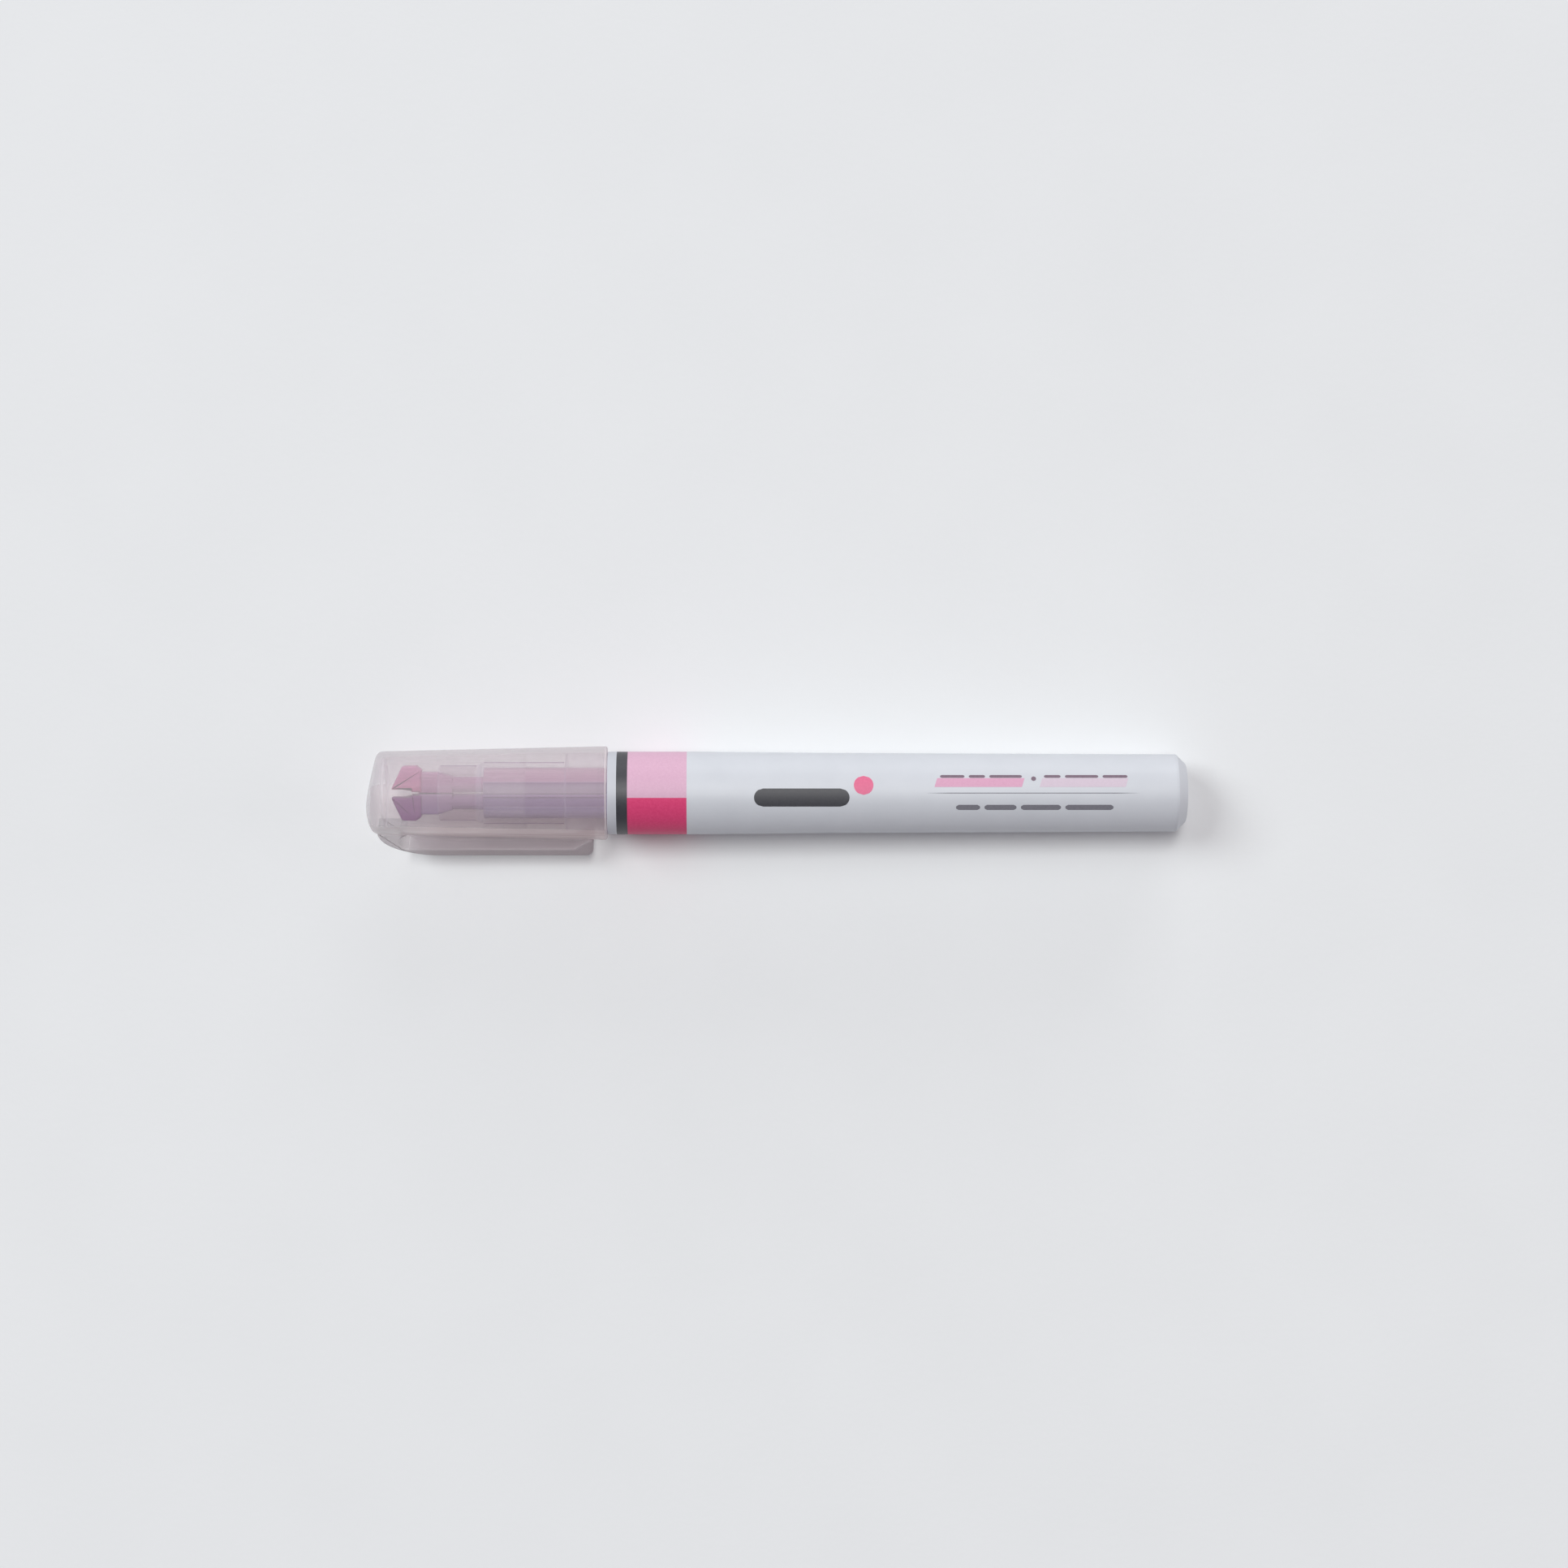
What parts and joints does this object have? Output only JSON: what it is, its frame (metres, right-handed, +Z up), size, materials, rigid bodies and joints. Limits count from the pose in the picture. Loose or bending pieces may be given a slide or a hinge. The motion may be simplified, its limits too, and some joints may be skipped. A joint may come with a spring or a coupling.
{
  "type": "highlighter",
  "caption": "Two-tone highlighter pen with twin chisel nibs under a translucent push-on cap that turns and pulls off, and a flexing pocket clip.",
  "frame": {"origin": "on the table under the middle of the pen's outline, with the pen lying at rest", "axes": "+Z up from the table; +X along the pen from the capped end to the tail, level on the table while the pen's own axis falls 0.82 degrees towards the tail; the clip points down and towards -Y"},
  "size_m": [0.1351, 0.018, 0.0154],
  "materials": {
    "cap_plastic": "milky translucent, soft gloss",
    "liner_plastic": "natural translucent",
    "holder_plastic": "natural translucent",
    "felt_rose": "ink-soaked felt",
    "felt_plum": "ink-soaked felt",
    "ink_fibre_rose": "ink-soaked fibre",
    "ink_fibre_plum": "ink-soaked fibre",
    "film_plastic": "thin clear film",
    "barrel_plastic": "satin white",
    "print_grey": "satin print",
    "print_pale": "satin print",
    "print_vivid": "satin print"
  },
  "bodies": {
    "pen": {"nib_holder": "holder_plastic", "nib_rose": "felt_rose", "nib_plum": "felt_plum", "reservoir_rose": "ink_fibre_rose", "reservoir_plum": "ink_fibre_plum", "film_rose": "film_plastic", "film_plum": "film_plastic", "barrel": "barrel_plastic", "tail_plug": "barrel_plastic", "print_ring": "print_grey", "print_pale": "print_pale", "print_vivid": "print_vivid"},
    "cap_carrier": {"inner_cap": "liner_plastic"},
    "cap": {"cap": "cap_plastic"},
    "clip": {"clip": "cap_plastic"}
  },
  "joints": [
    {"name": "cap_pull", "type": "slide", "parent": "pen", "child": "cap_carrier", "axis": [-0.9999, 0, 0.0143], "range_m": [0, 0.045]},
    {"name": "cap_turn", "type": "hinge", "parent": "cap_carrier", "child": "cap", "pos_m": [-0.0278, 0.00132, 0.00771], "axis": [-0.9999, 0, 0.0143], "continuous": true},
    {"name": "clip_flex", "type": "hinge", "parent": "cap", "child": "clip", "pos_m": [-0.06087, -0.00694, 0.00294], "axis": [-0.0121, 0.5359, -0.8442], "range_deg": [0, 5], "stiffness_Nm_per_rad": 2.25}
  ]
}
